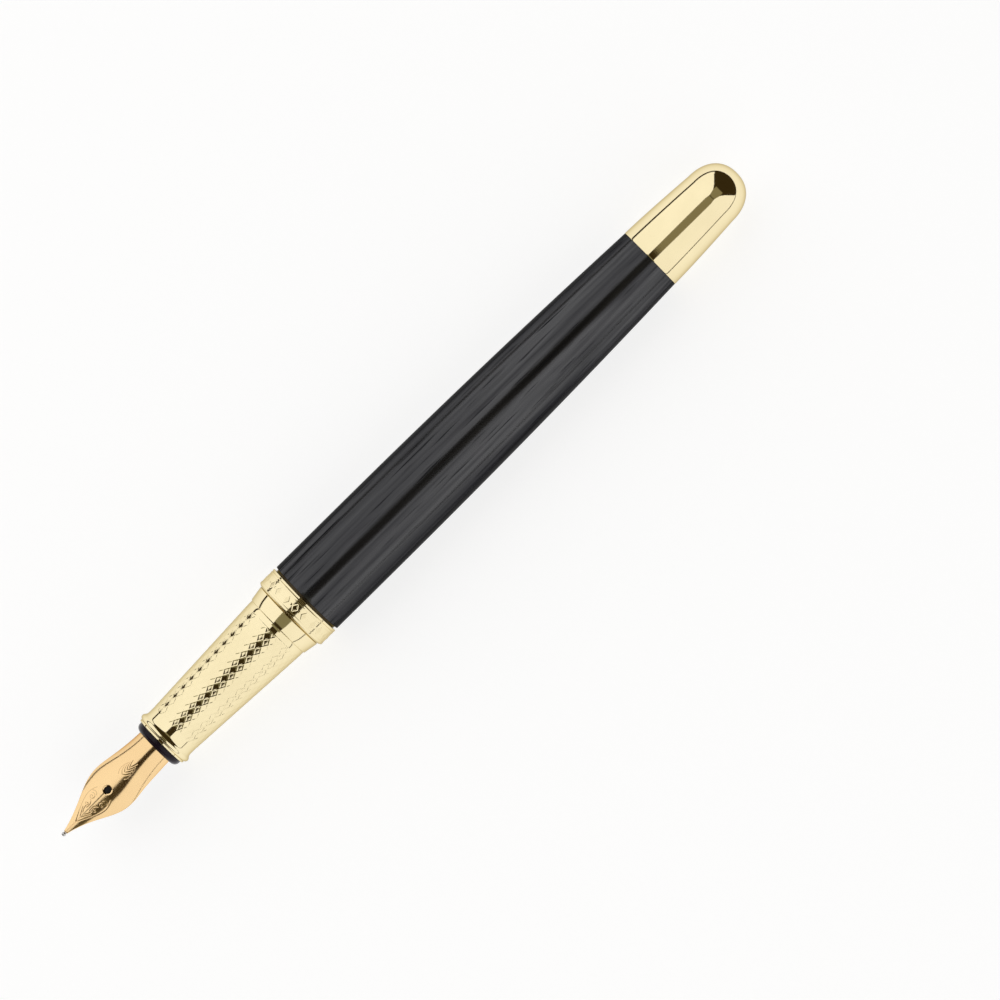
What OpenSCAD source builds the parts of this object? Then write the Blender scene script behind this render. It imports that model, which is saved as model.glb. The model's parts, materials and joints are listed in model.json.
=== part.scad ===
// Fountain pen, uncapped: an open nib in a tapered metal grip, a black wood barrel
// with a bullet finial, and a screw-piston converter inside.
// The pen lies along X with its nib towards -X and the nib's face up, +Z.
// Stations called x_... run along the pen, counted from the tip of the nib.

/* [Pen] */
// Overall length, from the tipping to the end of the finial
pen_len = 126; // [124:0.5:130]
// Largest diameter, at the centre band
band_d = 11.6; // [11.4:0.1:12.4]

/* [Nib] */
// Largest width across the nib's shoulders
nib_w = 6.9; // [6.4:0.1:7.2]
// Where the shoulders are widest
nib_shoulder_x = 9.5; // [8.5:0.1:10.5]
// Plate thickness
nib_t = 0.34; // [0.25:0.01:0.4]
// Radius of the nib's tail, where it sits in the housing
nib_tail_r = 2.85; // [2.8:0.01:2.87]
// Radius of the blade's arch
nib_arch_r = 4.6; // [4.4:0.1:5]
// How far the blade slopes down towards its point, in degrees
nib_slope = 2.8; // [2:0.1:3.5]
// Diameter of the breather hole
breather_d = 1.05; // [0.8:0.05:1.3]
// Width of the ink slit
slit_w = 0.12; // [0.08:0.01:0.2]
// Radius of the tipping ball
tipping_r = 0.31; // [0.25:0.01:0.4]

/* [Feed] */
// Radius of the feed under the nib
feed_r = 2.45; // [2.3:0.01:2.47]
// Radius of the feed's lower half inside the housing
feed_heel_r = 2.82; // [2.6:0.01:2.84]
// Number of ink-collecting fins
feed_fins = 10; // [6:1:12]

/* [Nib housing] */
// Radius of the rear of the visible black flange
flange_r = 3.7; // [3.5:0.05:3.8]
// Radius of the smooth sleeve behind the flange
housing_r = 3.2; // [3.15:0.01:3.3]
// Radius of the ink nipple that the converter pushes onto
nipple_r = 1.45; // [1.3:0.01:1.48]

/* [Grip] */
// Where the grip's front lip starts
grip_x = 18.1; // [18:0.1:18.5]
// Length of the grip, up to the centre band
grip_len = 24; // [23.5:0.1:24.5]
// Radius of the bead at the front
bead_r = 4.3; // [4.2:0.05:4.5]
// Radius of the grip at the front of the knurl
knurl_front_r = 3.925; // [3.85:0.025:4]
// Radius of the grip at the rear of the knurl
knurl_rear_r = 4.85; // [4.8:0.05:4.95]
// Radius of the grip's rear edge
grip_rear_r = 5.3; // [5.2:0.05:5.4]

/* [Thread] */
// Pitch of the barrel thread
pitch = 0.8; // [0.7:0.05:0.9]
// Radius at the thread's crests
thread_r = 4.62; // [4.55:0.01:4.64]
// Radius at the thread's roots
root_r = 4.3; // [4.25:0.01:4.35]
// Number of ridges on the tenon
ridges = 7; // [5:1:7]

/* [Barrel] */
// Largest radius of the wood sleeve
sleeve_r = 5.75; // [5.7:0.05:5.8]
// Radius lost over the sleeve's taper
sleeve_taper = 1; // [0.9:0.05:1]
// Outer radius of the brass tube
tube_r = 4.1; // [4.05:0.05:4.1]
// Inner radius of the brass tube
tube_bore_r = 3.82; // [3.8:0.01:3.85]
// Wall of the hollow finial at its open end
finial_wall = 1.05; // [1:0.05:1.3]

/* [Converter] */
// Radius of the clear ink tube
reservoir_r = 3.4; // [3.3:0.05:3.4]
// Bore radius of the clear ink tube
reservoir_bore_r = 2.95; // [2.9:0.05:2.95]
// Radius of the metal ferrule
ferrule_r = 3.65; // [3.6:0.01:3.7]
// Radius of the turning knob
knob_r = 3.6; // [3.5:0.05:3.65]
// Number of flutes around the knob
knob_flutes = 18; // [14:1:22]

/* [Hidden] */
$fn = 96;

fit = 0.05;                       // radial clearance of every sliding fit
seam = 0.05;                      // gap left between faces that only nearly meet
axis_h = band_d / 2;              // height of the pen's axis: the band touches z = 0

// Nib and feed stations
x_breather = 8.6;
x_tail = 13;                      // the blade's arch gives way to the tail's
x_nib_end = 24;
x_feed = 3.4;
x_feed_end = 27;
x_fins = 10;                      // the feed's fins start here
arch_z = nib_tail_r - nib_arch_r; // the arch's centre, below the axis, at x_arch
x_arch = 12;
tip_half_w = 0.28;
waist_half_w = 2.78;              // half width where the nib enters the housing
x_flange = 17;

// Grip stations
x_band = grip_x + grip_len;
x_bead = grip_x + 0.8;
x_knurl = grip_x + 2.6;
x_knurl_end = x_band - 3;
x_collar = x_band - 2.1;
x_cavity = 29.5;
x_counterbore = x_band - 6.2;
cavity_r = 3.75;
counterbore_r = 4.25;
housing_bore_r = nib_tail_r + 0.03;
grip_bore_r = housing_r + 0.2;

// Tenon, band and thread stations
band_w = 2.95;
x_groove = x_band + band_w + seam;
x_sleeve = x_groove + 0.3;
x_thread = x_sleeve + 0.2;
x_tenon_end = x_thread + ridges * pitch + 0.6;
tenon_bore_r = 3.85;
band_bore_r = thread_r + 0.08;
seal_r = 0.3;
x_seal = x_band + 1.9;

// Barrel stations
x_bush_end = x_tenon_end + 0.6;
bush_r = 5;
x_taper = 57.3;                   // the sleeve is straight up to here
x_finial = 109.7;
x_plug = 107;
finial_r = sleeve_r - sleeve_taper + 0.025;
finial_neck_r = 4.2;              // radius where the finial's dome starts
finial_bore_r = finial_r - finial_wall;
stud_r = finial_bore_r - fit;
x_dome = 121;
taper_steps = 4;                  // the sleeve's taper is cut as this many cones
stud_len = 5;
stud_wall = 0.75;

// Converter stations
x_nipple = 29;
nipple_len = 5.6;
ink_r = 0.75;                     // ink passage through nipple and throat
x_mouth = x_nipple + 0.6;
x_throat = 34.8;
x_chamber = 35.5;
x_reservoir_end = 68.5;
x_guide = 66.6;
x_seal_front = 61.5;              // piston drawn fully back
piston_len = 4.5;
x_nut = 70.1;
x_knob = 75;
x_knob_end = 99.6;
ferrule_x = [64.5, 76.2];
rod_r = 1.2;
x_rod_end = 98.4;
ball_r = 1;

// Points of a cubic curve between two ends, by its two handles
function curve(a, b, c, d, n = 14) = [
  for (i = [0 : n])
    let (t = i / n, s = 1 - t)
    s * s * s * a + 3 * s * s * t * b + 3 * s * t * t * c + t * t * t * d
];

// Points of an arc in an [r, x] outline
function arc(centre, radii, from, to, n = 10) = [
  for (i = [0 : n])
    let (a = from + (to - from) * i / n)
    centre + [radii[0] * cos(a), radii[1] * sin(a)]
];

// Ridges of a thread in an [r, x] outline, from low to high x
function ridge_points(x0, n) = [
  for (i = [0 : n - 1])
    for (p = [[root_r, 0], [thread_r, 0.3], [thread_r, 0.45], [root_r, 0.75]])
      [p[0], x0 + (i + p[1]) * pitch]
];

// Sleeve radius at a station
function sleeve_at(x) =
  x <= x_taper ? sleeve_r
  : sleeve_r - sleeve_taper * pow((x - x_taper) / (x_finial - x_taper), 2);

// Finial radius at a station
function finial_at(x) =
  x <= x_dome
    ? finial_r - (finial_r - finial_neck_r) * pow((x - x_finial) / (x_dome - x_finial), 1.4)
    : finial_neck_r * pow(1 - pow((x - x_dome) / (pen_len - x_dome), 2.25), 1 / 2.25);

// Puts pen stations into the part's frame
module placed() {
  translate([-pen_len / 2, 0, axis_h]) children();
}

// A solid turned about the pen's axis from an [r, x] outline
module turned(outline) {
  placed() rotate([0, 90, 0]) rotate_extrude() polygon(outline);
}

// A plain ring about the pen's axis
module ring(x0, x1, outer, inner) {
  turned([[inner, x0], [outer, x0], [outer, x1], [inner, x1]]);
}

// A plain rod about the pen's axis
module rod(x0, x1, r) {
  placed() translate([x0, 0, 0]) rotate([0, 90, 0]) cylinder(h = x1 - x0, r = r);
}

// The nib's plan, one half, from its point to its tail
function nib_edge() = concat(
  curve([tipping_r * 2, tip_half_w], [5.12, 1.39], [6.62, nib_w / 2], [nib_shoulder_x, nib_w / 2]),
  curve([nib_shoulder_x, nib_w / 2], [11.3, nib_w / 2], [11.6, 3.0], [x_flange, waist_half_w], 8),
  [[x_nib_end - 1, waist_half_w], [x_nib_end, 1.8]]
);

module nib_plan() {
  edge = nib_edge();
  n = len(edge);
  polygon(concat(edge, [for (i = [n - 1 : -1 : 0]) [edge[i][0], -edge[i][1]]]));
}

// A long cylinder along the sloping blade, to shape its arch
module arch(r) {
  translate([x_arch, 0, arch_z]) rotate([0, 90 - nib_slope, 0]) translate([0, 0, -20])
    cylinder(h = 25, r = r);
}

module nib_plate() {
  intersection() {
    difference() {
      arch(nib_arch_r);
      arch(nib_arch_r - nib_t);
    }
    translate([0, -5, 0]) cube([x_tail, 10, 5]);
  }
  difference() {
    translate([x_tail, 0, 0]) rotate([0, 90, 0]) cylinder(h = x_nib_end - x_tail, r = nib_tail_r);
    translate([x_tail - 1, 0, 0]) rotate([0, 90, 0])
      cylinder(h = x_nib_end, r = nib_tail_r - nib_t);
    translate([x_tail - 1, -5, -5]) cube([x_nib_end, 10, 5.7]);
  }
}

module nib() {
  color("goldenrod") placed() difference() {
    intersection() {
      nib_plate();
      linear_extrude(height = 5) nib_plan();
    }
    translate([x_breather, 0, 0]) cylinder(h = 5, d = breather_d);
    translate([0, -slit_w / 2, 0]) cube([x_breather, slit_w, 5]);
  }
}

module nib_tipping() {
  tip_z = arch_z + (nib_arch_r - nib_t / 2) - tan(nib_slope) * x_arch;
  color("silver") placed() difference() {
    translate([tipping_r, 0, tip_z]) sphere(r = tipping_r);
    translate([tipping_r * 1.9, -1, 0]) cube([1, 2, 4]);
  }
}

// The feed from the side: a tapered beak, then a parallel body
module feed_side() {
  top_z = nib_arch_r + arch_z - nib_t - seam;
  beak_z = top_z - tan(nib_slope) * (x_arch - x_feed);
  polygon(concat(
    [[x_feed_end, -3], [x_feed_end, 3], [x_flange, 3], [x_arch + 0.5, top_z], [x_feed, beak_z]],
    curve([x_feed, beak_z - 0.3], [5.5, 0.6], [7, -2.4], [x_arch, -2.45], 8)
  ));
}

module feed() {
  fin_pitch = (x_flange - 1 - x_fins) / feed_fins;
  color([0.08, 0.08, 0.09]) placed() difference() {
    intersection() {
      rotate([90, 0, 0]) translate([0, 0, -4]) linear_extrude(height = 8) feed_side();
      union() {
        intersection() {
          rotate([0, 90, 0]) cylinder(h = x_tail, r = feed_r);
          arch(nib_arch_r - nib_t - seam);
        }
        translate([x_tail, 0, 0]) rotate([0, 90, 0]) cylinder(h = x_feed_end - x_tail, r = feed_r);
        difference() {
          translate([x_flange + 0.2, 0, 0]) rotate([0, 90, 0])
            cylinder(h = x_feed_end - x_flange, r = feed_heel_r);
          translate([0, -4, 0.6]) cube([x_feed_end + 1, 8, 4]);
        }
      }
    }
    translate([x_feed - 1, -0.15, 1.4]) cube([x_feed_end, 0.3, 3]);
    for (i = [0 : feed_fins - 1])
      translate([x_fins + i * fin_pitch, -4, -4]) cube([fin_pitch * 0.5, 8, 3.6]);
  }
}

module nib_housing() {
  bore = housing_bore_r;
  ridge_x = [for (i = [0 : 5]) 23.5 + i * 0.75];
  color([0.1, 0.08, 0.1]) turned(concat(
    [[bore, x_flange], [bore + 0.12, x_flange]],
    arc([flange_r - 0.75, x_flange + 0.75], [0.75, 0.75], -80, 0, 6),
    [[flange_r, grip_x - seam], [housing_r, grip_x - seam]],
    [for (x = ridge_x) for (p = [[0, 0], [0.14, 0.25], [0.14, 0.4], [0, 0.65]])
      [housing_r + p[0], x + p[1]]],
    [[housing_r, x_nipple], [nipple_r, x_nipple], [nipple_r, x_nipple + nipple_len - 0.4]],
    [[nipple_r - 0.3, x_nipple + nipple_len], [ink_r, x_nipple + nipple_len]],
    [[ink_r, x_feed_end + 0.3], [bore, x_feed_end + 0.3]]
  ));
}

module grip_shell() {
  lip_r = 3.95;
  color([0.93, 0.82, 0.5]) turned(concat(
    [[grip_bore_r, grip_x], [lip_r - 0.05, grip_x], [lip_r, grip_x + 0.05]],
    [[lip_r, x_bead - 0.5]],
    arc([bead_r - 0.5, x_bead], [0.5, 0.52], -60, 60),
    [[knurl_front_r, x_bead + 0.55], [knurl_front_r, x_knurl]],
    [[knurl_rear_r, x_knurl_end], [knurl_rear_r + 0.05, x_collar]],
    [[knurl_rear_r + 0.12, x_collar], [grip_rear_r, x_band - 0.1], [grip_rear_r - 0.1, x_band]],
    [[counterbore_r, x_band], [counterbore_r, x_counterbore], [cavity_r, x_counterbore]],
    [[cavity_r, x_cavity], [grip_bore_r, x_cavity]]
  ));
}

module threaded_tenon() {
  color("darkgoldenrod") turned(concat(
    [[tenon_bore_r, x_counterbore + seam], [counterbore_r - seam, x_counterbore + seam]],
    [[counterbore_r - seam, x_band], [root_r, x_band], [root_r, x_seal - 0.4]],
    [[root_r - seal_r, x_seal - 0.4], [root_r - seal_r, x_seal + 0.4], [root_r, x_seal + 0.4]],
    ridge_points(x_thread, ridges),
    [[root_r, x_tenon_end - 0.2], [root_r - 0.2, x_tenon_end], [tenon_bore_r, x_tenon_end]]
  ));
}

module tenon_seal() {
  color([0.05, 0.05, 0.05]) placed() translate([x_seal, 0, 0]) rotate([0, 90, 0])
    rotate_extrude() translate([root_r + 0.01, 0]) circle(r = seal_r, $fn = 32);
}

module centre_band() {
  r = band_d / 2;
  color([0.93, 0.82, 0.5]) turned([
    [band_bore_r, x_band + seam],
    [r - 0.35, x_band + seam],
    [r, x_band + 0.35],
    [r, x_band + band_w],
    [band_bore_r, x_band + band_w]
  ]);
}

module thread_bush() {
  bore = thread_r + fit;
  color([0.16, 0.13, 0.08]) turned([
    [bore, x_groove],
    [sleeve_r - 0.4, x_groove],
    [sleeve_r - 0.4, x_sleeve],
    [bush_r, x_sleeve],
    [bush_r, x_bush_end],
    [bore, x_bush_end]
  ]);
}

module barrel_sleeve() {
  reach = x_finial - x_taper;
  color([0.12, 0.12, 0.13]) turned(concat(
    [[bush_r + 0.02, x_sleeve], [sleeve_r - 0.08, x_sleeve], [sleeve_r, x_sleeve + 0.08]],
    [for (i = [0 : taper_steps]) let (x = x_taper + reach * i / taper_steps) [sleeve_at(x), x]],
    [[tube_r + 0.02, x_finial], [tube_r + 0.02, x_bush_end + 0.1]],
    [[bush_r + 0.02, x_bush_end + 0.1]]
  ));
}

module barrel_tube() {
  color("peru") ring(x_bush_end + 0.15, x_plug, tube_r, tube_bore_r);
}

module end_plug() {
  color("peru") turned([
    [stud_r - stud_wall, x_plug],
    [tube_r, x_plug],
    [tube_r, x_finial - seam],
    [stud_r, x_finial - seam],
    [stud_r, x_finial + stud_len],
    [stud_r - stud_wall, x_finial + stud_len]
  ]);
}

module finial() {
  steps = 8;
  x_blind = x_dome + 0.5;
  color([0.93, 0.82, 0.5]) turned(concat(
    [[finial_bore_r, x_finial], [finial_r - 0.08, x_finial], [finial_at(x_finial + 0.1), x_finial + 0.1]],
    [for (i = [1 : steps]) let (x = x_finial + (x_dome - x_finial) * i / steps) [finial_at(x), x]],
    [for (a = [10 : 10 : 90]) let (x = x_dome + (pen_len - x_dome) * sin(a)) [finial_at(x), x]],
    [[0, x_blind + 1.8], [finial_bore_r - 1.6, x_blind + 1.4], [finial_bore_r - 0.3, x_blind]],
    [[finial_bore_r, x_blind - 0.8]]
  ));
}

module converter_tube() {
  color([0.85, 0.88, 0.9, 0.5]) turned([
    [nipple_r + fit, x_mouth],
    [2.6, x_mouth],
    [2.75, x_mouth + 0.3],
    [2.75, x_throat - 0.6],
    [reservoir_r, x_chamber],
    [reservoir_r, x_reservoir_end],
    [reservoir_bore_r, x_reservoir_end],
    [reservoir_bore_r, x_chamber],
    [ink_r, x_chamber],
    [ink_r, x_throat],
    [nipple_r + fit, x_throat]
  ]);
}

module converter_ferrule() {
  bore = reservoir_r + 0.02;
  color("silver") turned([
    [bore, ferrule_x[0]],
    [ferrule_r - 0.08, ferrule_x[0]],
    [ferrule_r, ferrule_x[0] + 0.15],
    [ferrule_r, ferrule_x[1] - 0.15],
    [ferrule_r - 0.08, ferrule_x[1]],
    [bore, ferrule_x[1]]
  ]);
}

module converter_guide() {
  bore = rod_r + fit;
  color([0.1, 0.1, 0.11]) turned([
    [bore, x_guide],
    [reservoir_bore_r - 0.02, x_guide],
    [reservoir_bore_r - 0.02, x_reservoir_end],
    [reservoir_r, x_reservoir_end],
    [reservoir_r, x_nut - seam],
    [bore, x_nut - seam]
  ]);
}

module agitator_ball() {
  color("lightgray") placed()
    translate([x_chamber + ball_r + 0.1, 0, ball_r - reservoir_bore_r + 0.02]) sphere(r = ball_r);
}

module converter_knob() {
  bore = rod_r + 0.3;
  flute_r = 0.28;
  x_skirt = ferrule_x[1] + 0.1;
  color([0.1, 0.1, 0.11]) difference() {
    turned([
      [bore, x_knob],
      [reservoir_r - fit, x_knob],
      [reservoir_r - fit, x_skirt],
      [knob_r - 0.15, x_skirt],
      [knob_r, x_skirt + 0.15],
      [knob_r, x_knob_end - 0.5],
      [knob_r - 0.5, x_knob_end],
      [0, x_knob_end],
      [0, x_rod_end + 0.4],
      [bore, x_rod_end + 0.4]
    ]);
    for (i = [0 : knob_flutes - 1])
      placed() rotate([360 * i / knob_flutes, 0, 0]) translate([x_skirt + 2, 0, knob_r + 0.1])
        rotate([0, 90, 0]) cylinder(h = x_knob_end, r = flute_r, $fn = 24);
  }
}

module drive_nut() {
  color("white") ring(x_nut, x_knob - 0.02, reservoir_r - 0.1, rod_r + fit);
}

module piston_rod() {
  color([0.1, 0.1, 0.11]) rod(x_seal_front + piston_len, x_rod_end, rod_r);
}

module piston_seal() {
  lip_r = reservoir_bore_r - fit;
  color([0.15, 0.15, 0.16]) turned([
    [0, x_seal_front],
    [1.2, x_seal_front],
    [lip_r, x_seal_front + 0.8],
    [lip_r, x_seal_front + 1.4],
    [lip_r - 0.4, x_seal_front + 1.7],
    [lip_r - 0.4, x_seal_front + 2.9],
    [lip_r, x_seal_front + 3.2],
    [lip_r, x_seal_front + 3.8],
    [1.8, x_seal_front + piston_len],
    [0, x_seal_front + piston_len]
  ]);
}

nib();
nib_tipping();
feed();
nib_housing();
grip_shell();
threaded_tenon();
tenon_seal();
centre_band();
thread_bush();
barrel_sleeve();
barrel_tube();
end_plug();
finial();
converter_tube();
converter_ferrule();
converter_guide();
agitator_ball();
converter_knob();
drive_nut();
piston_rod();
piston_seal();
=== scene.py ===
import json
import math

import bmesh
import bpy
import numpy as np
from mathutils import Matrix, Vector


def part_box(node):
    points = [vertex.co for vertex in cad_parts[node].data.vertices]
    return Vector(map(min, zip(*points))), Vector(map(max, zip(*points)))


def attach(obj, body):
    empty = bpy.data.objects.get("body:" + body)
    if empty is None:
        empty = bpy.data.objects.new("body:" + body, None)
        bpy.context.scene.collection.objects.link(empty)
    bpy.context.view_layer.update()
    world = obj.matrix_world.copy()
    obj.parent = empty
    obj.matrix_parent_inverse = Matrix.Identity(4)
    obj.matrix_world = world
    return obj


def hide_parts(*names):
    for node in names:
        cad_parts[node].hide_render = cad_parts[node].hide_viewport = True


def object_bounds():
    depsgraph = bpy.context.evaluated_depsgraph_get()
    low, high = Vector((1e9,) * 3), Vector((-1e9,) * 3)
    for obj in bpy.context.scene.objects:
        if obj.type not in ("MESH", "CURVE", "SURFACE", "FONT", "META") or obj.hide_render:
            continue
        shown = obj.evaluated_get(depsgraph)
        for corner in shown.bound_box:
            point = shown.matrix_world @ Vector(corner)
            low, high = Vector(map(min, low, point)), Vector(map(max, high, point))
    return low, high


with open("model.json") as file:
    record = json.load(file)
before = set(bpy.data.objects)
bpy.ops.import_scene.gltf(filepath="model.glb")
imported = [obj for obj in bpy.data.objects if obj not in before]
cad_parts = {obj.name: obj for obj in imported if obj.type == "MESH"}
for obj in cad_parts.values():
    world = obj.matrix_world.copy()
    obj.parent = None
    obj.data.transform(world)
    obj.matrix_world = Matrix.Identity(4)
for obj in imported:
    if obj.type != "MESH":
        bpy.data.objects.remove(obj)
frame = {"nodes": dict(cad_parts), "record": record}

# The looks of an uncapped fountain pen. The pen lies along X, nib towards -X.
# Stations are millimetres along the pen from the nib's tip, radii are millimetres
# from its axis, and angles are counted round the axis from +Z towards +Y.

CAD_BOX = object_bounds()
MM = 0.001
NOSE_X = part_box("nib_tipping")[0].x
AXIS_Z = (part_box("centre_band")[0].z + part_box("centre_band")[1].z) / 2


def start(node):
    """The station where a CAD node begins."""
    return (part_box(node)[0].x - NOSE_X) / MM


def end(node):
    """The station where a CAD node ends."""
    return (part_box(node)[1].x - NOSE_X) / MM


def radius(node):
    """The largest radius of a turned CAD node."""
    low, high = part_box(node)
    return (high.y - low.y) / 2 / MM


# ---------------------------------------------------------------- mesh building

def in_frame(station, y, z):
    """Stations and heights above the axis, in mm, as points of the row frame."""
    return np.stack([NOSE_X + station * MM, y * MM, AXIS_Z + z * MM], axis=-1)


def build(name, points, faces, crease=32, groove=None):
    """A closed smooth-shaded mesh, wound outwards, with edges over crease sharp."""
    points = np.asarray(points, float).reshape(-1, 3)
    corner = points[[f[0] for f in faces]]
    spans = [(f[i], f[i + 1]) for f in faces for i in (1, len(f) - 2)]
    volume = 0.0
    for pick in (0, 1):
        b = points[[s[0] for s in spans[pick::2]]]
        c = points[[s[1] for s in spans[pick::2]]]
        share = np.array([1.0 if len(f) == 4 or pick == 0 else 0.0 for f in faces])
        volume += (np.einsum("ij,ij->i", corner, np.cross(b, c)) * share).sum()
    if volume < 0:
        faces = [tuple(reversed(f)) for f in faces]
    mesh = bpy.data.meshes.new(name)
    mesh.from_pydata(points.tolist(), [], faces)
    mesh.validate()
    mesh.shade_smooth()
    mesh.set_sharp_from_angle(angle=math.radians(crease))
    if groove is not None:
        layer = mesh.attributes.new("groove", "FLOAT", "POINT")
        layer.data.foreach_set("value", np.asarray(groove, np.float32).ravel())
    piece = bpy.data.objects.new(name, mesh)
    bpy.context.scene.collection.objects.link(piece)
    return piece


def fillet(outline, size, steps=4, closed=True):
    """An outline of (station, radius) with its corners rounded."""
    points = [np.array(p, float) for p in outline]
    count = len(points)
    rounded = []
    for i, here in enumerate(points):
        before, after = points[i - 1], points[(i + 1) % count]
        a, b = before - here, after - here
        la, lb = np.linalg.norm(a), np.linalg.norm(b)
        on_axis = here[1] < 1e-6
        at_end = not closed and i in (0, count - 1)
        if on_axis or at_end or np.dot(a, b) / (la * lb) < -0.93:
            rounded.append(here)
            continue
        cut = min(size, la * 0.45, lb * 0.45)
        p, q = here + a / la * cut, here + b / lb * cut
        for k in range(steps + 1):
            t = k / steps
            rounded.append((1 - t) ** 2 * p + 2 * t * (1 - t) * here + t * t * q)
    return [tuple(p) for p in rounded]


def revolve(name, outline, segments=192, relief=None, split=None, crease=32, centre_z=0.0):
    """A solid of revolution from a closed outline of (station, radius).

    relief(station, angle) gives how far each vertex is lifted and its groove value, and
    split(row, column) says which diagonal a quad is cut along: 0 none, 1 or 2."""
    rows = np.array(outline, float)
    angle = np.arange(segments) * 2 * math.pi / segments
    station = np.repeat(rows[:, :1], segments, axis=1)
    reach = np.repeat(rows[:, 1:], segments, axis=1)
    groove = np.zeros_like(reach)
    if relief is not None:
        offset, groove = relief(station, angle[None, :] + 0 * station)
        reach = reach + offset
    points = in_frame(station, reach * np.sin(angle), centre_z + reach * np.cos(angle))
    on_axis = rows[:, 1] < 1e-6
    index = np.arange(len(rows) * segments).reshape(len(rows), segments)
    faces = []
    for i in range(len(rows)):
        j = (i + 1) % len(rows)
        if on_axis[i] and on_axis[j]:
            continue
        for k in range(segments):
            m = (k + 1) % segments
            a, b, c, d = index[i, k], index[j, k], index[j, m], index[i, m]
            if on_axis[i]:
                faces.append((index[i, 0], b, c))
            elif on_axis[j]:
                faces.append((a, index[j, 0], d))
            else:
                cut = split(i, k) if split else 0
                if cut == 1:
                    faces += [(a, b, c), (a, c, d)]
                elif cut == 2:
                    faces += [(a, b, d), (b, c, d)]
                else:
                    faces.append((a, b, c, d))
    flat = points.reshape(-1, 3)
    used = sorted({v for f in faces for v in f})
    renumber = {old: new for new, old in enumerate(used)}
    faces = [tuple(renumber[v] for v in f) for f in faces]
    return build(name, flat[used], faces, crease, groove.reshape(-1)[used])


def stations(first, last, count):
    """Evenly spaced stations, both ends included."""
    return [first + (last - first) * i / (count - 1) for i in range(count)]


def smooth(t):
    """A soft step from 0 to 1."""
    t = np.clip(t, 0.0, 1.0)
    return t * t * (3 - 2 * t)


def bezier(a, b, c, d, t):
    """Points of a cubic curve."""
    a, b, c, d = (np.array(p, float) for p in (a, b, c, d))
    t = np.asarray(t, float)[:, None]
    return (1 - t) ** 3 * a + 3 * (1 - t) ** 2 * t * b + 3 * (1 - t) * t * t * c + t ** 3 * d


# ---------------------------------------------------------------- materials

class Look:
    """A procedural material around one Principled shader."""

    def __init__(self, name, colour, **sockets):
        self.material = bpy.data.materials.new(name)
        self.material.use_nodes = True
        self.tree = self.material.node_tree
        self.tree.nodes.clear()
        self.shader = self.add("ShaderNodeBsdfPrincipled")
        output = self.add("ShaderNodeOutputMaterial")
        self.link(self.shader.outputs["BSDF"], output.inputs["Surface"])
        self.shader.inputs["Base Color"].default_value = (*colour, 1)
        for socket, value in sockets.items():
            self.shader.inputs[socket.replace("_", " ")].default_value = value
        self.place = self.add("ShaderNodeTexCoord").outputs["Object"]

    def add(self, kind, **settings):
        node = self.tree.nodes.new(kind)
        for key, value in settings.items():
            setattr(node, key, value)
        return node

    def link(self, source, target):
        self.tree.links.new(source, target)

    def stretched(self, scale):
        """Coordinates scaled per axis."""
        mapping = self.add("ShaderNodeMapping")
        mapping.inputs["Scale"].default_value = scale
        self.link(self.place, mapping.inputs["Vector"])
        return mapping.outputs["Vector"]

    def noise(self, scale, vector=None, detail=4.0, roughness=0.55):
        node = self.add("ShaderNodeTexNoise")
        node.inputs["Scale"].default_value = scale
        node.inputs["Detail"].default_value = detail
        node.inputs["Roughness"].default_value = roughness
        self.link(vector or self.place, node.inputs["Vector"])
        return node.outputs["Fac"]

    def remap(self, value, low, high, to_low, to_high):
        node = self.add("ShaderNodeMapRange")
        for socket, number in zip(("From Min", "From Max", "To Min", "To Max"),
                                  (low, high, to_low, to_high)):
            node.inputs[socket].default_value = number
        self.link(value, node.inputs["Value"])
        return node.outputs["Result"]

    def mix(self, factor, first, second):
        """A colour between two, each a triple or a socket."""
        node = self.add("ShaderNodeMix", data_type="RGBA")
        self.link(factor, node.inputs[0])
        for socket, colour in ((node.inputs[6], first), (node.inputs[7], second)):
            if isinstance(colour, tuple):
                socket.default_value = (*colour, 1)
            else:
                self.link(colour, socket)
        return node.outputs[2]

    def math(self, operation, first, second):
        node = self.add("ShaderNodeMath", operation=operation)
        for socket, value in zip(node.inputs, (first, second)):
            if isinstance(value, (int, float)):
                socket.default_value = value
            else:
                self.link(value, socket)
        return node.outputs[0]

    def groove(self):
        return self.add("ShaderNodeAttribute", attribute_name="groove").outputs["Fac"]

    def colour(self, source):
        self.link(source, self.shader.inputs["Base Color"])

    def rough(self, source):
        self.link(source, self.shader.inputs["Roughness"])

    def bump(self, height, strength, distance):
        node = self.add("ShaderNodeBump")
        node.inputs["Strength"].default_value = strength
        node.inputs["Distance"].default_value = distance
        self.link(height, node.inputs["Height"])
        self.link(node.outputs["Normal"], self.shader.inputs["Normal"])


def polished_metal(name, colour, deep, rough, engraved=0.0, turned=0.0, edge=(0.62, 0.56, 0.42)):
    """Plated or turned metal: a faint colour drift, fine smears and turning marks."""
    look = Look(name, colour, Metallic=1.0, Specular_Tint=(*edge, 1.0))
    drift = look.remap(look.noise(180.0), 0.35, 0.65, 0.0, 0.07)
    tint = look.mix(drift, colour, deep)
    if engraved:
        tint = look.mix(look.remap(look.groove(), 0.1, 1.0, 0.0, engraved), tint, deep)
    look.colour(tint)
    smear = look.noise(700.0, detail=6.0, roughness=0.65)
    look.rough(look.remap(smear, 0.3, 0.75, rough * 0.85, rough * 1.25))
    marks = look.noise(60.0, look.stretched((140.0, 6.0, 6.0)), detail=2.0)
    look.bump(marks, 0.02 + turned, 0.00003)
    return look.material


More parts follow.
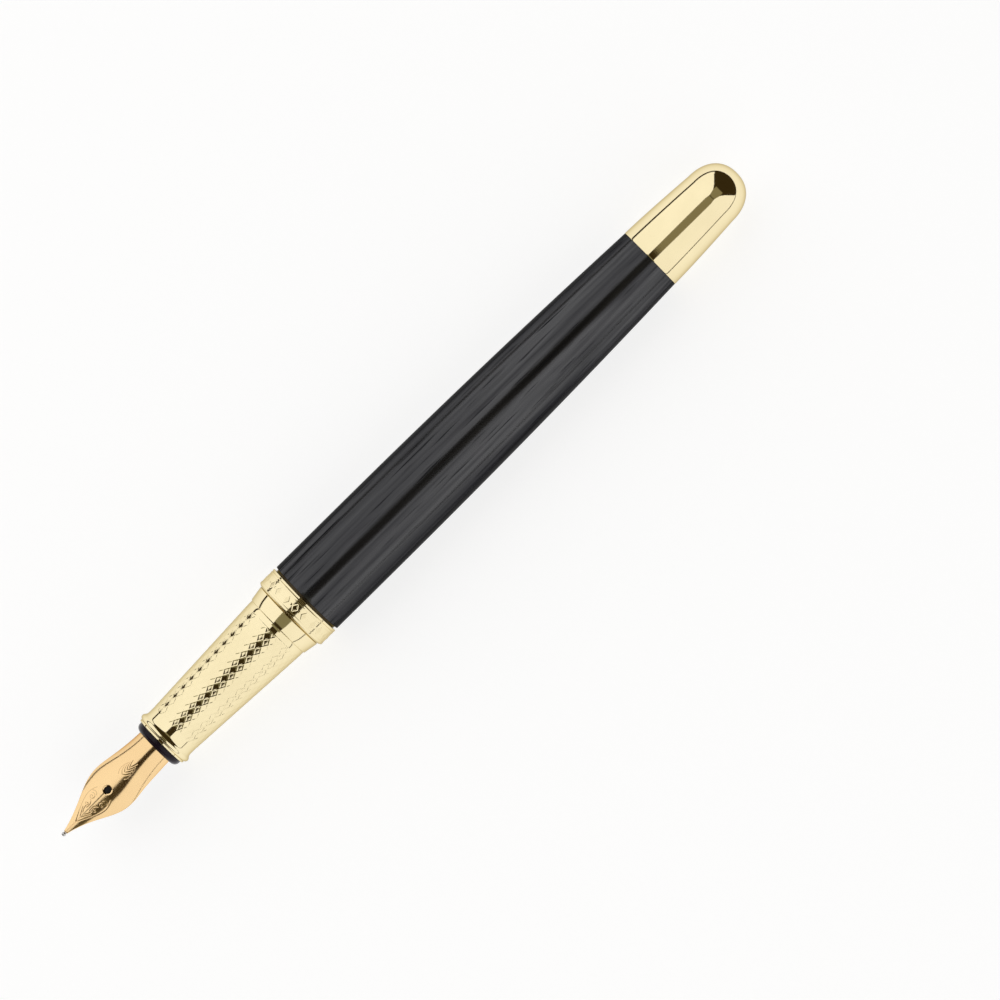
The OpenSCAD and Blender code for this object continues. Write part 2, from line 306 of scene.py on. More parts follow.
def black_wood():
    """Black stained and polished wood: long fine grain, dark pores and paler streaks."""
    black, streak = (0.040, 0.040, 0.043), (0.115, 0.115, 0.118)
    look = Look("black_wood", black, Metallic=0.85, IOR=1.4, Specular_Tint=(0.05, 0.05, 0.05, 1.0))
    grain = look.noise(900.0, look.stretched((0.02, 1.0, 1.0)), detail=5.0, roughness=0.6)
    broad = look.noise(160.0, look.stretched((0.05, 1.0, 1.0)), detail=3.0)
    pores = look.noise(2200.0, look.stretched((0.04, 1.0, 1.0)), detail=2.0)
    pore = look.remap(pores, 0.60, 0.72, 0.0, 1.0)
    line = look.remap(grain, 0.36, 0.64, 0.0, 1.0)
    body = look.remap(broad, 0.3, 0.7, 0.55, 1.0)
    tone = look.mix(look.math("MULTIPLY", line, body), black, streak)
    look.colour(look.mix(pore, tone, (0.015, 0.015, 0.017)))
    gloss = look.remap(grain, 0.3, 0.7, 0.14, 0.19)
    look.rough(look.math("ADD", gloss, look.remap(pore, 0.0, 1.0, 0.0, 0.15)))
    look.bump(look.math("SUBTRACT", grain, look.math("MULTIPLY", pore, 0.7)), 0.12, 0.00002)
    return look.material


def moulded_plastic(name, colour, rough, grain=0.1, shine=0.5):
    """Moulded plastic: a hint of flow marks and fine mould texture."""
    look = Look(name, colour, IOR=1.5, Specular_IOR_Level=shine)
    lighter = tuple(min(1.0, c * 1.5 + 0.004) for c in colour)
    look.colour(look.mix(look.remap(look.noise(220.0), 0.4, 0.7, 0.0, 0.6), colour, lighter))
    look.rough(look.remap(look.noise(900.0), 0.3, 0.7, rough * 0.85, rough * 1.2))
    look.bump(look.noise(6000.0, detail=2.0), grain, 0.00003)
    return look.material


def clear_plastic():
    """Clear moulded styrene with faint drag marks."""
    look = Look("clear_plastic", (0.94, 0.97, 0.98), IOR=1.49, Transmission_Weight=1.0)
    look.rough(look.remap(look.noise(500.0, look.stretched((0.1, 1.0, 1.0))), 0.3, 0.7, 0.01, 0.06))
    look.colour(look.mix(look.noise(60.0), (0.93, 0.965, 0.975), (0.97, 0.985, 0.99)))
    return look.material


def soft_rubber():
    """Black seal rubber: dull, with a slight bloom."""
    look = Look("seal_rubber", (0.012, 0.012, 0.013), IOR=1.45)
    look.colour(look.mix(look.remap(look.noise(400.0), 0.45, 0.75, 0.0, 1.0),
                         (0.012, 0.012, 0.013), (0.035, 0.035, 0.036)))
    look.rough(look.remap(look.noise(1500.0), 0.3, 0.7, 0.45, 0.62))
    look.bump(look.noise(5000.0), 0.15, 0.00003)
    return look.material


PALE_GOLD = (0.97, 0.84, 0.53)
OLD_GOLD = (0.36, 0.26, 0.08)
ROSE_GOLD = (0.97, 0.69, 0.36)
NIB_SHADE = (0.30, 0.13, 0.04)
BRASS, BRASS_SHADE = (0.80, 0.60, 0.27), (0.35, 0.22, 0.07)
STEEL, STEEL_SHADE = (0.76, 0.76, 0.77), (0.40, 0.40, 0.42)
LOOKS = {
    "grip_gold": polished_metal("grip_gold", PALE_GOLD, OLD_GOLD, 0.07, engraved=0.2),
    "band_gold": polished_metal("band_gold", PALE_GOLD, OLD_GOLD, 0.09, engraved=0.3),
    "plain_gold": polished_metal("plain_gold", PALE_GOLD, OLD_GOLD, 0.06, turned=0.01),
    "nib_gold": polished_metal("nib_gold", ROSE_GOLD, NIB_SHADE, 0.14, engraved=0.45, edge=(0.6, 0.42, 0.3)),
    "tipping": polished_metal("tipping", (0.62, 0.61, 0.60), (0.3, 0.3, 0.3), 0.22, edge=(0.8, 0.8, 0.8)),
    "brass": polished_metal("brass", BRASS, BRASS_SHADE, 0.24, turned=0.15, edge=(1.0, 0.9, 0.7)),
    "steel": polished_metal("steel", STEEL, STEEL_SHADE, 0.10, turned=0.05, edge=(0.9, 0.9, 0.9)),
    "dark_metal": polished_metal("dark_metal", (0.06, 0.045, 0.025), (0.02, 0.015, 0.01), 0.3),
    "black_wood": black_wood(),
    "gloss_black": moulded_plastic("gloss_black", (0.012, 0.006, 0.012), 0.22, 0.04, shine=0.16),
    "matt_black": moulded_plastic("matt_black", (0.008, 0.006, 0.006), 0.42, 0.2, shine=0.2),
    "white_plastic": moulded_plastic("white_plastic", (0.80, 0.80, 0.77), 0.35),
    "clear": clear_plastic(),
    "rubber": soft_rubber(),
}


def dress(piece, look):
    """Gives a piece one material."""
    if piece.material_slots:
        for material_slot in piece.material_slots:
            material_slot.material = LOOKS[look]
    else:
        piece.data.materials.append(LOOKS[look])
    return piece


def body_of_node(node):
    """The body whose list holds a node."""
    bodies = frame["record"]["behaviour"]["bodies"]
    return next(body for body, members in bodies.items() if node in members)


def stand_in(piece, node, look):
    """piece shows in place of a CAD node, on the same body, dressed in the given look."""
    dress(piece, look)
    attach(piece, body_of_node(node))
    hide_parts(node)
    return piece


# ---------------------------------------------------------------- nib and feed

NIB_START = start("nib")
NIB_END = end("nib")
NIB_HALF = radius("nib")
NIB_T = 0.34                     # plate thickness
TIP_HALF = 0.28                  # half width at the tipping
SHOULDER = 9.5                   # station of the widest point
WAIST = start("nib_housing")     # where the nib enters its housing
WAIST_HALF = 2.78
TAIL_R = 2.85                    # arch radius inside the housing
BLADE_R = 7.0                    # arch radius across the middle of the blade
BLADE_ROLL = 0.5                 # how far the blade's sides roll down past that arch
HOLE_X = 8.6
HOLE_R = 0.525
SLIT_AT_HOLE, SLIT_AT_TIP = 0.05, 0.014
TOP_AT_WAIST = 2.85              # height of the arch's crown over the axis
SLOPE = 0.049                    # fall of the crown per mm towards the point


def nib_edge(x):
    """Half width of the nib's plan at stations x."""
    t = np.linspace(0, 1, 200)
    tine = bezier((NIB_START, TIP_HALF), (5.12, 1.39), (6.62, NIB_HALF), (SHOULDER, NIB_HALF), t)
    waist = bezier((SHOULDER, NIB_HALF), (11.3, NIB_HALF), (11.6, 3.0), (WAIST, WAIST_HALF), t)
    tail = np.array([[NIB_END - 1.2, WAIST_HALF - 0.05], [NIB_END - 0.4, 2.4], [NIB_END, 1.5]])
    line = np.concatenate([tine, waist[1:], tail])
    return np.interp(x, line[:, 0], line[:, 1])


def nib_crown(x):
    """Height of the nib's crown over the axis at stations x."""
    return TOP_AT_WAIST - SLOPE * np.maximum(0.0, 12.0 - x)


def nib_fall(x, y, half):
    """How far the nib's face lies below its crown at y, where the nib is half wide."""
    tail_r = np.maximum(TAIL_R, half / 0.975)
    tail = tail_r - np.sqrt(np.maximum(0.0, tail_r ** 2 - y ** 2))
    roll = BLADE_ROLL * (half / NIB_HALF) ** 2 * (y / half) ** 4
    blade = y ** 2 / (2 * BLADE_R) + roll
    share = smooth((x - 8.8) / (WAIST - 9.3))
    return blade + (tail - blade) * share


def spiral(centre, size, turns, begin, hand):
    """A volute, opening from its centre."""
    t = np.linspace(0.0, 1.0, 60)
    a = begin + hand * t * turns * 2 * math.pi
    r = size * (0.12 + 0.88 * t)
    return np.stack([centre[0] + r * np.cos(a), centre[1] + r * np.sin(a)], axis=1)


def nib_engraving():
    """The lines cut in one half of the nib's face: border, volutes and leaves."""
    t = np.linspace(0, 1, 60)
    return [
        bezier((2.7, 0.06), (3.6, 0.5), (4.5, 1.05), (5.3, 1.36), t),
        bezier((5.3, 1.36), (6.2, 1.72), (7.0, 1.8), (7.9, 1.3), t),
        spiral((6.55, 0.92), 0.5, 1.3, -1.2, 1),
        spiral((5.45, 0.62), 0.3, 1.1, 2.2, -1),
        bezier((5.0, 0.32), (5.6, 0.2), (5.9, 0.3), (6.1, 0.7), t),
        bezier((7.1, 0.55), (7.4, 0.8), (7.5, 1.15), (7.2, 1.45), t),
        bezier((4.2, 0.2), (4.5, 0.45), (4.8, 0.58), (5.15, 0.55), t),
        bezier((3.6, 0.14), (4.0, 0.3), (4.4, 0.62), (4.75, 0.78), t),
    ]


def nib_crest():
    """The small shell behind the breather hole, one half."""
    t = np.linspace(0, 1, 40)
    ribs = [bezier((11.5 + i, 0.0), (11.6 + i, 0.3 - i / 5),
                   (12.0 + i, 0.62 - i / 4), (12.5 + i, 0.7 - i / 4), t)
            for i in (0.0, 0.45, 0.9, 1.35)]
    return ribs + [bezier((11.2, 0.5), (11.6, 0.95), (12.4, 1.0), (13.2, 0.6), t)]


def line_depth(x, y, lines, width):
    """How deep a vertex lies in the nearest line, from 0 to 1."""
    near = np.full(x.shape, 9.0)
    for line in lines:
        for px, py in line:
            near = np.minimum(near, (x - px) ** 2 + (y - py) ** 2)
    return np.exp(-near / (width * width))


def nib_stations():
    """Stations along the nib, closer at the hole and over the engraving."""
    around = HOLE_X - HOLE_R * np.cos(np.linspace(0, math.pi, 36))
    spans = [
        np.linspace(NIB_START, 2.6, 30, endpoint=False),
        np.linspace(2.6, HOLE_X - HOLE_R, 130, endpoint=False),
        around,
        np.linspace(HOLE_X + HOLE_R, 15.0, 124)[1:],
        np.linspace(15.0, NIB_END, 44)[1:],
    ]
    return np.concatenate(spans)


def nib_piece():
    """The nib: an arched plate, split to its hole, with cut ornament."""
    x = nib_stations()
    count = 62
    slit = np.interp(x, (NIB_START, HOLE_X), (SLIT_AT_TIP, SLIT_AT_HOLE))
    inner = np.where(x < HOLE_X, slit, 0.0)
    chord = np.sqrt(np.maximum(0.0, HOLE_R ** 2 - (x - HOLE_X) ** 2))
    inner, outer = np.maximum(inner, chord)[:, None], nib_edge(x)[:, None]
    widest = 1.349
    lean = np.arcsin(inner / outer * math.sin(widest))
    v = np.linspace(0, 1, count)[None, :]
    v = 0.7 * v + 0.3 * v * v
    flat_y = outer * np.sin(lean + (widest - lean) * v) / math.sin(widest)
    station = np.repeat(x[:, None], count, axis=1)
    face = nib_crown(station) - nib_fall(station, flat_y, outer)
    rise = np.gradient(face, axis=1) / np.gradient(flat_y, axis=1)
    steep = np.sqrt(1 + rise ** 2)
    out_y, out_z = -rise / steep, 1 / steep
    edge = (outer - flat_y) * steep
    rim = np.hypot(station - HOLE_X, flat_y) - HOLE_R
    soft = 0.09
    drop = soft - np.sqrt(np.maximum(0.0, soft ** 2 - np.maximum(0.0, soft - edge) ** 2))
    drop = np.maximum(drop, 0.09 * np.clip(1 - np.abs(rim) / 0.14, 0, 1))
    beside_slit = (station < HOLE_X - HOLE_R) * np.clip(1 - (flat_y - inner) / 0.04, 0, 1)
    drop = np.maximum(drop, 0.02 * beside_slit)
    drop = np.maximum(drop, 0.05 * np.clip(1 - (station - NIB_START) / 0.15, 0, 1))
    cut = line_depth(station, flat_y, nib_engraving() + nib_crest(), 0.055)
    top = drop + 0.024 * cut
    under = NIB_T - 0.4 * drop
    halves, grooves, faces = [], [], []
    rows, total = len(x), len(x) * count
    index = np.arange(total).reshape(rows, count)
    for side in (1, -1):
        base = len(halves) * total
        for depth in (top, under):
            halves.append(in_frame(station, side * (flat_y - depth * out_y), face - depth * out_z))
            grooves.append(cut if depth is top else np.zeros_like(cut))
        upper, lower = index + base, index + base + total
        for i in range(rows - 1):
            for j in range(count - 1):
                quad = (upper[i, j], upper[i + 1, j], upper[i + 1, j + 1], upper[i, j + 1])
                below = (lower[i, j], lower[i, j + 1], lower[i + 1, j + 1], lower[i + 1, j])
                faces += [quad, below] if side > 0 else [quad[::-1], below[::-1]]
            walls = [(upper[i, -1], upper[i + 1, -1], lower[i + 1, -1], lower[i, -1])]
            if x[i + 1] <= HOLE_X + HOLE_R + 1e-9:
                walls.append((upper[i + 1, 0], upper[i, 0], lower[i, 0], lower[i + 1, 0]))
            faces += walls if side > 0 else [w[::-1] for w in walls]
        for j in range(count - 1):
            ends = [
                (upper[0, j], upper[0, j + 1], lower[0, j + 1], lower[0, j]),
                (upper[-1, j + 1], upper[-1, j], lower[-1, j], lower[-1, j + 1]),
            ]
            faces += ends if side > 0 else [e[::-1] for e in ends]
    piece = build("nib_blade", np.concatenate([h.reshape(-1, 3) for h in halves]), faces,
                  crease=40, groove=np.concatenate([g.ravel() for g in grooves]))
    weld(piece)
    return piece


def weld(piece, distance=1e-7):
    """Joins vertices that lie on each other."""
    work = bmesh.new()
    work.from_mesh(piece.data)
    bmesh.ops.remove_doubles(work, verts=work.verts, dist=distance)
    work.to_mesh(piece.data)
    work.free()


def tipping_piece():
    """The ball of hard alloy at the point."""
    low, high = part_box("nib_tipping")
    half = (high.z - low.z) / 2 / MM
    length = (high.x - low.x) / MM
    height = ((high.z + low.z) / 2 - AXIS_Z) / MM
    outline = [(length * (1 - math.cos(a)) / 2, half * math.sin(a) ** 0.8)
               for a in stations(0.0, math.pi, 17)]
    outline[0], outline[-1] = (0.0, 0.0), (length, 0.0)
    return revolve("tipping_ball", outline, 40, centre_z=height, crease=60)


def feed_piece():
    """The feed: a tapered beak under the nib and a finned body behind it."""
    first, last = start("feed"), end("feed")
    fins, fins_from, fins_to = 10, 10.0, WAIST - 1.0
    pitch = (fins_to - fins_from) / fins
    line = [(s, 1.0) for s in stations(first, fins_from - 0.05, 26)]
    for i in range(fins):
        x0 = fins_from + i * pitch
        line += [(x0, 1.0), (x0 + 0.02, 0.62), (x0 + pitch * 0.45, 0.62), (x0 + pitch * 0.45 + 0.02, 1.0)]
    line += [(s, 1.0) for s in stations(fins_to + 0.1, last, 8)]
    x = np.array([p[0] for p in line])
    keep = np.array([p[1] for p in line])[:, None]
    segments = 96
    theta = np.arange(segments) * 2 * math.pi / segments
    crown = nib_crown(x)
    body = 2.45
    beak = smooth((x - first) / (11.5 - first)) ** 0.7
    ceiling = np.minimum(crown - NIB_T - 0.06, body)
    floor = ceiling - 0.32 - (ceiling + body - 0.32) * beak
    wide = 0.42 + (body - 0.42) * smooth((x - first) / (9.5 - first))
    mid, tall = ((ceiling + floor) / 2)[:, None], ((ceiling - floor) / 2)[:, None]
    below = np.clip((-np.cos(theta) + 0.15) * 4, 0, 1)[None, :]
    scale = 1 - (1 - keep) * below
    y = wide[:, None] * np.sin(theta) * scale
    z = mid + tall * np.cos(theta) * scale
    points = in_frame(np.repeat(x[:, None], segments, axis=1), y, z).reshape(-1, 3)
    index = np.arange(len(x) * segments).reshape(len(x), segments)
    faces = [(index[i, k], index[i + 1, k], index[i + 1, (k + 1) % segments], index[i, (k + 1) % segments])
             for i in range(len(x) - 1) for k in range(segments)]
    caps = in_frame(x[[0, -1]], np.zeros(2), mid[[0, -1], 0])
    for row, cap in ((0, len(points)), (-1, len(points) + 1)):
        for k in range(segments):
            pair = (index[row, (k + 1) % segments], index[row, k])
            faces.append((cap, *pair) if row == 0 else (cap, *pair[::-1]))
    return build("feed_block", np.concatenate([points, caps]), faces, crease=35)


stand_in(nib_piece(), "nib", "nib_gold")
stand_in(tipping_piece(), "nib_tipping", "tipping")
stand_in(feed_piece(), "feed", "matt_black")

# ---------------------------------------------------------------- grip

GRIP_START = start("grip_shell")
GRIP_END = end("grip_shell")
HOUSING_R = radius("nib_housing")


def housing_piece():
    """The black nib housing: rounded flange, sleeve with its thread, ink nipple."""
    x0, x1, bore = start("nib_housing"), end("nib_housing"), TAIL_R + 0.03
    rear, nipple, ink = 29.0, 1.45, 0.75
    flange = [(x0 + 0.78 - 0.78 * math.cos(a), HOUSING_R - 0.78 + 0.78 * math.sin(a))
              for a in stations(0.15, math.pi / 2, 12)]
    sleeve = [(GRIP_START - 0.05, HOUSING_R), (GRIP_START - 0.05, 3.2), (23.0, 3.2)]
    thread = [(s, 3.2) for s in stations(23.2, 28.2, 90)]
    back = [(rear, 3.2), (rear, nipple), (x1 - 0.4, nipple), (x1, nipple - 0.35), (x1, ink),
            (27.3, ink), (27.3, bore), (x0, bore)]
    outline = flange + sleeve + thread + back
    pitch = 0.75

    def screw(station, angle):
        turn = (station / pitch - angle / (2 * math.pi)) % 1.0
        tooth = smooth(1 - np.abs(turn - 0.5) * 3.2)
        inside = smooth((station - 23.2) / 0.6) * smooth((28.2 - station) / 0.6)
        rows = np.zeros_like(station)
        rows[len(flange) + len(sleeve):len(flange) + len(sleeve) + len(thread)] = 1
        return 0.14 * tooth * inside * rows, np.zeros_like(station)

    return revolve("housing", outline, 144, relief=screw)


KNURL_FROM = GRIP_START + 2.6
KNURL_TO = GRIP_END - 3.0
KNURL_FRONT_R = 3.925
KNURL_REAR_R = 4.85
KNURL_AROUND = 30                # diamonds round the grip
KNURL_PITCH = 1.6                # length of a diamond along the grip
KNURL_PHASE = 0.25
KNURL_CELL = 14                  # mesh steps across one diamond


def grip_piece():
    """The gold grip: lip, bead, cut diamond knurl and conical rear collar."""
    bead_x, bead_r = GRIP_START + 0.72, 4.3
    lip_r, rear_r = 3.98, 5.34
    front = fillet([(GRIP_START, 3.4), (GRIP_START, lip_r), (bead_x - 0.45, lip_r)], 0.07, 4, False)
    bead = [(bead_x + 0.44 * math.sin(a), bead_r - 0.42 + 0.42 * math.cos(a))
            for a in stations(math.radians(-58), math.radians(38), 17)]
    hollow = [tuple(p) for p in bezier(bead[-1], (bead[-1][0] + 0.24, bead[-1][1] - 0.19),
                                       (bead[-1][0] + 0.3, KNURL_FRONT_R),
                                       (bead[-1][0] + 0.75, KNURL_FRONT_R),
                                       np.linspace(0, 1, 14))[1:]]
    land = hollow + [(KNURL_FROM - 0.3, KNURL_FRONT_R)]
    step = KNURL_PITCH / KNURL_CELL
    count = round((KNURL_TO - KNURL_FROM) / step) + 1
    knurl = [(KNURL_FROM + i * step,
              KNURL_FRONT_R + (KNURL_REAR_R - KNURL_FRONT_R) * i / (count - 1))
             for i in range(count)]
    land_r, cone_x = KNURL_REAR_R + 0.02, GRIP_END - 2.1
    land_x = knurl[-1][0]
    collar = [(land_x + 0.02, land_r)]
    collar += [(x, land_r) for x in stations(land_x + 0.05, cone_x - 0.05, 3)]
    collar += [(cone_x - 0.02, land_r + 0.02), (cone_x, land_r + 0.1), (cone_x + 0.04, land_r + 0.13)]
    collar += [(x, land_r + 0.14 + (rear_r - land_r - 0.14) * (x - cone_x) / 2.0)
               for x in stations(cone_x + 0.08, GRIP_END - 0.12, 3)]
    collar += fillet([(GRIP_END - 0.1, rear_r), (GRIP_END, rear_r - 0.08), (GRIP_END, 4.25)], 0.04, 3, False)
    inside = [(GRIP_END - 6.2, 4.25), (GRIP_END - 6.2, 3.75), (29.5, 3.75), (29.5, 3.4)]
    outline = front + bead + land + knurl + collar + inside
    first = len(front) + len(bead) + len(land)
    segments = KNURL_AROUND * KNURL_CELL

    def diamonds(station, angle):
        across = angle * KNURL_AROUND / (2 * math.pi) + KNURL_PHASE
        along = (station - KNURL_FROM) / KNURL_PITCH
        a = np.abs(((across + along) % 1.0) * 2 - 1)
        b = np.abs(((across - along) % 1.0) * 2 - 1)
        fade = smooth((station - KNURL_FROM) / 0.25) * smooth((KNURL_TO - station) / 0.25)
        rows = np.zeros_like(station)
        rows[first:first + count] = 1
        line = np.maximum(a, b)
        dish = np.cos(a * math.pi / 2) * np.cos(b * math.pi / 2)
        ridge = smooth((line - 0.76) / 0.22)
        foot = smooth(1 - np.abs(line - 0.74) / 0.16) * (1 - ridge)
        lift = 0.024 * ridge - 0.006 * dish - 0.01
        return lift * fade * rows, 0.5 * foot * fade * rows

    def diagonal(row, column):
        i = row - first
        if not 0 <= i < count - 1:
            return 0
        return 1 if (i - column) % KNURL_CELL in (0, KNURL_CELL - 1) else 2

    return revolve("grip", outline, segments, relief=diamonds, split=diagonal, crease=50)


def tenon_piece():
    """The threaded tenon behind the grip, with a true right-hand thread."""
    x0, x1 = start("threaded_tenon"), end("threaded_tenon")
    bore, root, crest, pitch = 3.85, 4.3, radius("threaded_tenon"), 0.8
    seal_x = GRIP_END + 1.9
    thread_from, thread_to = GRIP_END + 3.4, x1 - 0.35
    front = [(x0, bore), (x0, 4.2), (GRIP_END, 4.2), (GRIP_END, root), (seal_x - 0.4, root),
             (seal_x - 0.4, 4.0), (seal_x + 0.4, 4.0), (seal_x + 0.4, root), (thread_from - 0.1, root)]
    thread = [(s, root) for s in stations(thread_from, thread_to, 120)]
    back = [(x1 - 0.2, root), (x1, root - 0.2), (x1, bore)]

    def screw(station, angle):
        turn = (station / pitch - angle / (2 * math.pi)) % 1.0
        tooth = smooth(1.35 - np.abs(turn - 0.5) * 4.2)
        fade = smooth((station - thread_from) / 0.7) * smooth((thread_to - station) / 0.7)
        rows = np.zeros_like(station)
        rows[len(front):len(front) + len(thread)] = 1
        return (crest - root) * tooth * fade * rows, np.zeros_like(station)

    return revolve("tenon", front + thread + back, 160, relief=screw)


stand_in(housing_piece(), "nib_housing", "gloss_black")
stand_in(grip_piece(), "grip_shell", "grip_gold")
stand_in(tenon_piece(), "threaded_tenon", "brass")

# ---------------------------------------------------------------- band and barrel

BAND_R = radius("centre_band")
MOTIFS = 22                      # repeats of the motif round the band
MOTIF_CELL = 26                  # mesh steps across one motif


def band_piece():
    """The centre band: a broad strip of low lozenges and beads between plain borders."""
    x0, x1, bore = start("centre_band"), end("centre_band"), 4.7
    strip_from, strip_to = x0 + 0.5, x1 - 0.6
    front = fillet([(x0, bore), (x0, BAND_R - 0.35), (x0 + 0.25, BAND_R), (strip_from - 0.03, BAND_R)],
                   0.05, 3, False)
    strip = [(s, BAND_R) for s in stations(strip_from, strip_to, 48)]
    back = fillet([(strip_to + 0.03, BAND_R), (x1 - 0.42, BAND_R), (x1 - 0.36, BAND_R - 0.06),
                   (x1 - 0.30, BAND_R), (x1 - 0.04, BAND_R), (x1, BAND_R - 0.05), (x1, bore)], 0.03, 2, False)
    middle, half = (strip_from + strip_to) / 2, (strip_to - strip_from) / 2

    def motif(station, angle):
        u = ((angle * MOTIFS / (2 * math.pi)) % 1.0) * 2 - 1
        v = (station - middle) / half
        lozenge = 1 - (np.abs(u) / 0.56 + np.abs(v) / 0.80)
        bead = 1 - np.hypot((np.abs(u) - 1) * 0.9, v * 1.1) / 0.2
        raised = smooth(lozenge * 7)
        raised = np.maximum(raised - 0.6 * smooth(lozenge * 7 - 2.2), smooth(bead * 2))
        border = smooth((np.abs(v) - 0.84) / 0.1)
        rows = np.zeros_like(station)
        rows[len(front):len(front) + len(strip)] = 1
        raised = np.maximum(raised, border)
        return 0.03 * (raised - 1) * rows, 4 * raised * (1 - raised) * rows * 0.5

    return revolve("band", front + strip + back, MOTIFS * MOTIF_CELL, relief=motif, crease=50)


SLEEVE_START = start("barrel_sleeve")
SLEEVE_END = end("barrel_sleeve")
SLEEVE_R = radius("barrel_sleeve")
SLEEVE_TAPER = 1.0
SLEEVE_STRAIGHT = 57.3           # station where the taper begins


def sleeve_r(x):
    """Radius of the wood at a station."""
    t = max(0.0, (x - SLEEVE_STRAIGHT) / (SLEEVE_END - SLEEVE_STRAIGHT))
    return SLEEVE_R - SLEEVE_TAPER * t * t


def sleeve_piece():
    """The black wood sleeve, with a softened front end and a tapered rear."""
    bush_r, tube_r, step_x = 5.02, 4.12, end("thread_bush") + 0.1
    outer = [(x, sleeve_r(x)) for x in stations(SLEEVE_START, SLEEVE_END, 70)]
    outer = [(SLEEVE_START, SLEEVE_R - 0.08), (SLEEVE_START + 0.03, SLEEVE_R - 0.02)] + \
            [(SLEEVE_START + 0.09, SLEEVE_R)] + outer[1:]
    inner = [(SLEEVE_END, tube_r), (step_x, tube_r), (step_x, bush_r), (SLEEVE_START, bush_r)]
    return revolve("wood_sleeve", outer + inner, 256, crease=30)


FINIAL_START = start("finial")
FINIAL_END = end("finial")
FINIAL_R = radius("finial")
DOME_FROM = 121.0                # station where the dome takes over
DOME_R = 4.2


def finial_r(x):
    """Radius of the finial at a station."""
    if x <= DOME_FROM:
        t = (x - FINIAL_START) / (DOME_FROM - FINIAL_START)
        return FINIAL_R - (FINIAL_R - DOME_R) * max(0.0, t) ** 1.4
    t = min(1.0, (x - DOME_FROM) / (FINIAL_END - DOME_FROM))
    return DOME_R * (1 - t ** 2.25) ** (1 / 2.25)


def finial_piece():
    """The gold bullet end, a hollow cap with a rounded blind bore."""
    bore = FINIAL_R - 1.05
    taper = [(x, finial_r(x)) for x in stations(FINIAL_START + 0.12, DOME_FROM, 26)]
    dome = [(DOME_FROM + (FINIAL_END - DOME_FROM) * math.sin(a),
             finial_r(DOME_FROM + (FINIAL_END - DOME_FROM) * math.sin(a)))
            for a in stations(0.04, math.pi / 2, 44)]
    dome[-1] = (FINIAL_END, 0.0)
    foot = [(FINIAL_START, bore), (FINIAL_START, FINIAL_R - 0.1), (FINIAL_START + 0.04, FINIAL_R - 0.03)]
    hollow = [(FINIAL_END - 2.7, 0.0), (FINIAL_END - 3.1, 1.9),
              (FINIAL_END - 4.4, 3.3), (FINIAL_END - 5.5, bore)]
    return revolve("bullet_end", foot + taper + dome + hollow, 256, crease=40)


stand_in(band_piece(), "centre_band", "band_gold")
stand_in(sleeve_piece(), "barrel_sleeve", "black_wood")
stand_in(finial_piece(), "finial", "plain_gold")

# ---------------------------------------------------------------- converter

def reservoir_piece():
    """The clear tube, with its narrow mouth moulded on."""
    x0, x1 = start("converter_tube"), end("converter_tube")
    r, bore, mouth, nipple = radius("converter_tube"), 2.95, 2.75, 1.5
    chamber, throat, ink = 35.5, 34.8, 0.75
    outline = [(x0, nipple), (x0, mouth - 0.15), (x0 + 0.3, mouth), (throat - 0.6, mouth), (chamber, r),
               (x1, r), (x1, bore), (chamber, bore), (chamber, ink), (throat, ink), (throat, nipple)]
    return revolve("reservoir", fillet(outline, 0.12, 4), 128, crease=40)


def ferrule_piece():
    """The bright ferrule, with a rolled groove at each end."""
    x0, x1 = start("converter_ferrule"), end("converter_ferrule")
    r, bore = radius("converter_ferrule"), 3.42
    outer = [(x0, r - 0.1)]
    for groove_x in (x0 + 1.4, x1 - 1.4):
        outer += [(groove_x - 0.35, r)] if groove_x > x0 + 3 else [(x0 + 0.15, r), (groove_x - 0.35, r)]
        outer += [(groove_x + 0.3 * math.sin(a), r - 0.12 * math.cos(a) ** 2)
                  for a in stations(-math.pi / 2, math.pi / 2, 9)]
        outer += [(groove_x + 0.35, r)]
    outline = outer + [(x1 - 0.15, r), (x1, r - 0.1), (x1, bore), (x0, bore)]
    return revolve("ferrule", outline, 128, crease=50)


def knob_piece():
    """The turning knob: a plain collar, then flutes up to a rounded end."""
    flutes, r = 18, radius("converter_knob")
    x0, x1, spigot_r, bore = start("converter_knob"), end("converter_knob"), 3.35, 1.5
    skirt, blind = end("converter_ferrule") + 0.1, 98.8
    head = fillet([(x0, bore), (x0, spigot_r), (skirt, spigot_r), (skirt, r), (skirt + 1.9, r)],
                  0.12, 3, False)
    grip = [(s, r) for s in stations(skirt + 2.0, x1 - 0.7, 40)]
    tail = [(x1 - 0.7 + 0.7 * math.sin(a), r - 0.7 + 0.7 * math.cos(a))
            for a in stations(0.15, math.pi / 2, 9)]
    close = [(x1, 0.0), (blind, 0.0), (blind, bore)]

    def fluted(station, angle):
        wave = 0.5 + 0.5 * np.cos(angle * flutes)
        rows = np.zeros_like(station)
        rows[len(head):len(head) + len(grip) + 4] = 1
        cut = wave ** 2 * smooth((station - skirt - 2.0) / 0.9) * smooth((x1 - 0.25 - station) / 0.8) * rows
        return -0.22 * cut, cut * 0

    return revolve("fluted_knob", head + grip + tail + close, flutes * 14, relief=fluted, crease=40)


def rod_piece():
    """The piston rod, with its steep drive thread."""
    x0, x1, r, lead = start("piston_rod"), end("piston_rod"), radius("piston_rod"), 4.5
    body = [(s, r) for s in stations(x0 + 1.0, x1 - 0.2, 150)]
    outline = [(x0, 0.0), (x0, r), (x0 + 0.8, r)] + body + [(x1, r - 0.2), (x1, 0.0)]

    def screw(station, angle):
        turn = 0.5 + 0.5 * np.cos(2 * (angle - station * 2 * math.pi / lead))
        rows = np.zeros_like(station)
        rows[3:3 + len(body)] = 1
        fade = smooth((station - x0 - 1.0) / 1.5)
        return -0.28 * turn ** 2 * rows * fade, np.zeros_like(station)

    return revolve("screw_rod", outline, 72, relief=screw, crease=45)


